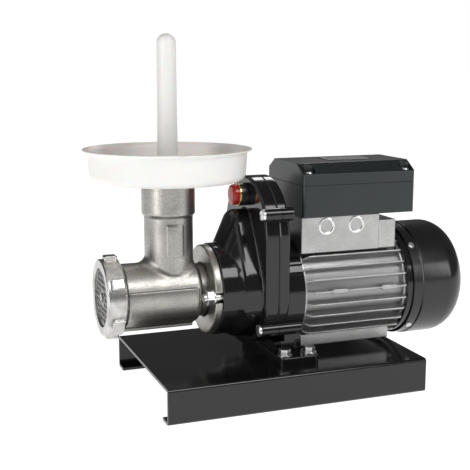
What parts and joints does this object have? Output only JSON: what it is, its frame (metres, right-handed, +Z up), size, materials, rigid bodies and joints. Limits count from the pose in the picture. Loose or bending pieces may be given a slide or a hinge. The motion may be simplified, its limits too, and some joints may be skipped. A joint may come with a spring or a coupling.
{
  "type": "electric meat grinder",
  "caption": "Electric meat grinder: cast head with round feed pan and pusher, black geared housing, finned motor with terminal box, on a bent sheet base.",
  "frame": {"origin": "on the plane that the base stands on, under the middle of the whole object", "axes": "+X along the shafts from the grinder's mouth to the motor's fan, +Z up, -Z out of the base's underside"},
  "size_m": [0.3566, 0.171, 0.3205],
  "materials": {
    "base_paint": "gloss black paint",
    "gearbox_paint": "gloss black enamel on a casting",
    "zinc": "bright zinc plate",
    "gasket_paper": "dark gasket",
    "steel": "machined steel",
    "bronze": "sintered bronze",
    "brass": "polished brass",
    "red_plastic": "gloss red moulding",
    "black_plastic": "black moulding",
    "box_plastic": "satin dark grey moulding",
    "cast_aluminium": "die-cast, as cast",
    "copper": "enamelled copper",
    "lamination": "laminated electrical steel",
    "cover_paint": "satin black paint on sheet steel",
    "label_metal": "blank metal plate",
    "tinned_iron": "tinned cast iron",
    "bright_iron": "machined and tinned, bright",
    "white_plastic": "milky food-grade plastic",
    "ceramic": "terminal block plastic"
  },
  "bodies": {
    "frame": {"base_plate": "base_paint", "base_bolts": "zinc", "base_nuts": "zinc", "gearbox_front_cover": "gearbox_paint", "gearbox_rear_cover": "gearbox_paint", "gearbox_gasket": "gasket_paper", "gearbox_screws": "zinc", "output_bearings": "steel", "output_seal": "gasket_paper", "layshaft_bushes": "bronze", "button_bezel": "black_plastic", "button_ring": "brass", "button_spring": "steel", "motor_frame": "cast_aluminium", "pad_plugs": "cast_aluminium", "tie_rods": "zinc", "stator_core": "lamination", "stator_windings": "copper", "motor_bearings": "steel", "rear_end_shield": "cover_paint", "fan_cover": "cover_paint", "fan_cover_screws": "zinc", "terminal_box": "box_plastic", "terminal_box_lid": "box_plastic", "lid_gasket": "gasket_paper", "lid_screws": "zinc", "label_plate": "label_metal", "run_capacitor": "white_plastic", "terminal_block": "ceramic", "cable_gland": "black_plastic", "grinder_body": "tinned_iron", "feed_tube": "tinned_iron", "grinder_studs": "zinc", "grinder_nuts": "zinc", "plate_pin": "steel", "cutting_plate": "bright_iron"},
    "rotor": {"motor_shaft": "steel", "rotor_core": "lamination", "motor_pinion": "steel", "cooling_fan": "black_plastic"},
    "layshaft_body": {"layshaft": "steel", "layshaft_wheel": "steel", "layshaft_pinion": "steel"},
    "output_body": {"output_shaft": "steel", "output_gear": "steel", "worm": "tinned_iron", "knife": "steel"},
    "button_body": {"red_button": "red_plastic"},
    "ring_nut_body": {"ring_nut": "bright_iron"},
    "pan_body": {"feed_pan": "white_plastic"},
    "pusher_body": {"pusher": "white_plastic"}
  },
  "joints": [
    {"name": "rotor_spin", "type": "hinge", "parent": "frame", "child": "rotor", "pos_m": [0.05, 0, 0.0886], "axis": [1, 0, 0], "continuous": true},
    {"name": "layshaft_spin", "type": "hinge", "parent": "frame", "child": "layshaft_body", "pos_m": [-0.025, 0, 0.1426], "axis": [1, 0, 0], "continuous": true},
    {"name": "output_spin", "type": "hinge", "parent": "frame", "child": "output_body", "pos_m": [-0.05, 0, 0.0926], "axis": [1, 0, 0], "continuous": true},
    {"name": "button_press", "type": "slide", "parent": "frame", "child": "button_body", "axis": [1, 0, 0], "range_m": [0, 0.003], "stiffness_N_per_m": 400, "springref_m": -0.002, "deforming": ["button_spring"]},
    {"name": "ring_nut_turn", "type": "hinge", "parent": "frame", "child": "ring_nut_body", "pos_m": [-0.1544, 0, 0.0926], "axis": [-1, 0, 0], "range_deg": [0, 330]},
    {"name": "pan_lift", "type": "slide", "parent": "frame", "child": "pan_body", "axis": [0, 0, 1], "range_m": [0, 0.04]},
    {"name": "pusher_slide", "type": "slide", "parent": "pan_body", "child": "pusher_body", "axis": [0, 0, 1], "range_m": [0, 0.15]}
  ],
  "couplings": [
    {"joint": "layshaft_spin", "follows": "rotor_spin", "ratio": -0.2},
    {"joint": "output_spin", "follows": "rotor_spin", "ratio": 0.063158}
  ]
}
